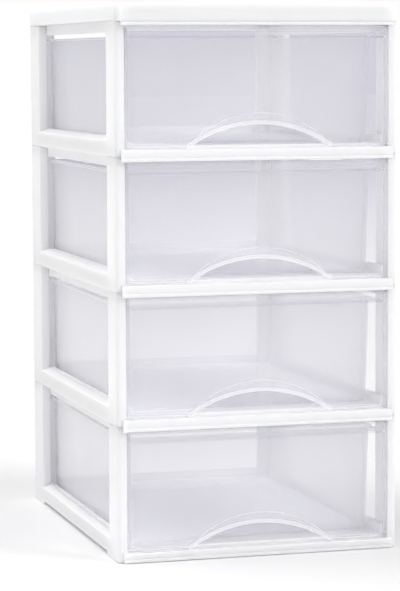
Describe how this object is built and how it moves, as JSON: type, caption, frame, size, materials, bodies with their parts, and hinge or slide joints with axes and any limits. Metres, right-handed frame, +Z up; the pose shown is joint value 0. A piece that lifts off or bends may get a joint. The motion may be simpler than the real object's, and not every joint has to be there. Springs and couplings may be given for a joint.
{
  "type": "plastic drawer tower",
  "caption": "Upright storage tower: a white snap-together frame with side windows and clear pull-out drawers, each with an arched finger pull.",
  "frame": {"origin": "on the floor under the middle of the tower's footprint", "axes": "+Z up, -Y out of the front where the drawers open, +X to the right seen from the front"},
  "size_m": [0.28, 0.38, 0.532],
  "materials": {
    "white_plastic": "satin moulded polypropylene",
    "clear_plastic": "clear glossy polystyrene with a faint cool grey tint"
  },
  "bodies": {
    "frame": {"base_panel": "white_plastic", "shelf_1": "white_plastic", "shelf_2": "white_plastic", "shelf_3": "white_plastic", "top_cap": "white_plastic", "side_left_1": "white_plastic", "side_left_2": "white_plastic", "side_left_3": "white_plastic", "side_left_4": "white_plastic", "side_right_1": "white_plastic", "side_right_2": "white_plastic", "side_right_3": "white_plastic", "side_right_4": "white_plastic"},
    "drawer_body_1": {"drawer_1": "clear_plastic"},
    "drawer_body_2": {"drawer_2": "clear_plastic"},
    "drawer_body_3": {"drawer_3": "clear_plastic"},
    "drawer_body_4": {"drawer_4": "clear_plastic"}
  },
  "joints": [
    {"name": "drawer_slide_1", "type": "slide", "parent": "frame", "child": "drawer_body_1", "axis": [0, -1, 0], "range_m": [0, 0.27]},
    {"name": "drawer_slide_2", "type": "slide", "parent": "frame", "child": "drawer_body_2", "axis": [0, -1, 0], "range_m": [0, 0.27]},
    {"name": "drawer_slide_3", "type": "slide", "parent": "frame", "child": "drawer_body_3", "axis": [0, -1, 0], "range_m": [0, 0.27]},
    {"name": "drawer_slide_4", "type": "slide", "parent": "frame", "child": "drawer_body_4", "axis": [0, -1, 0], "range_m": [0, 0.27]}
  ]
}
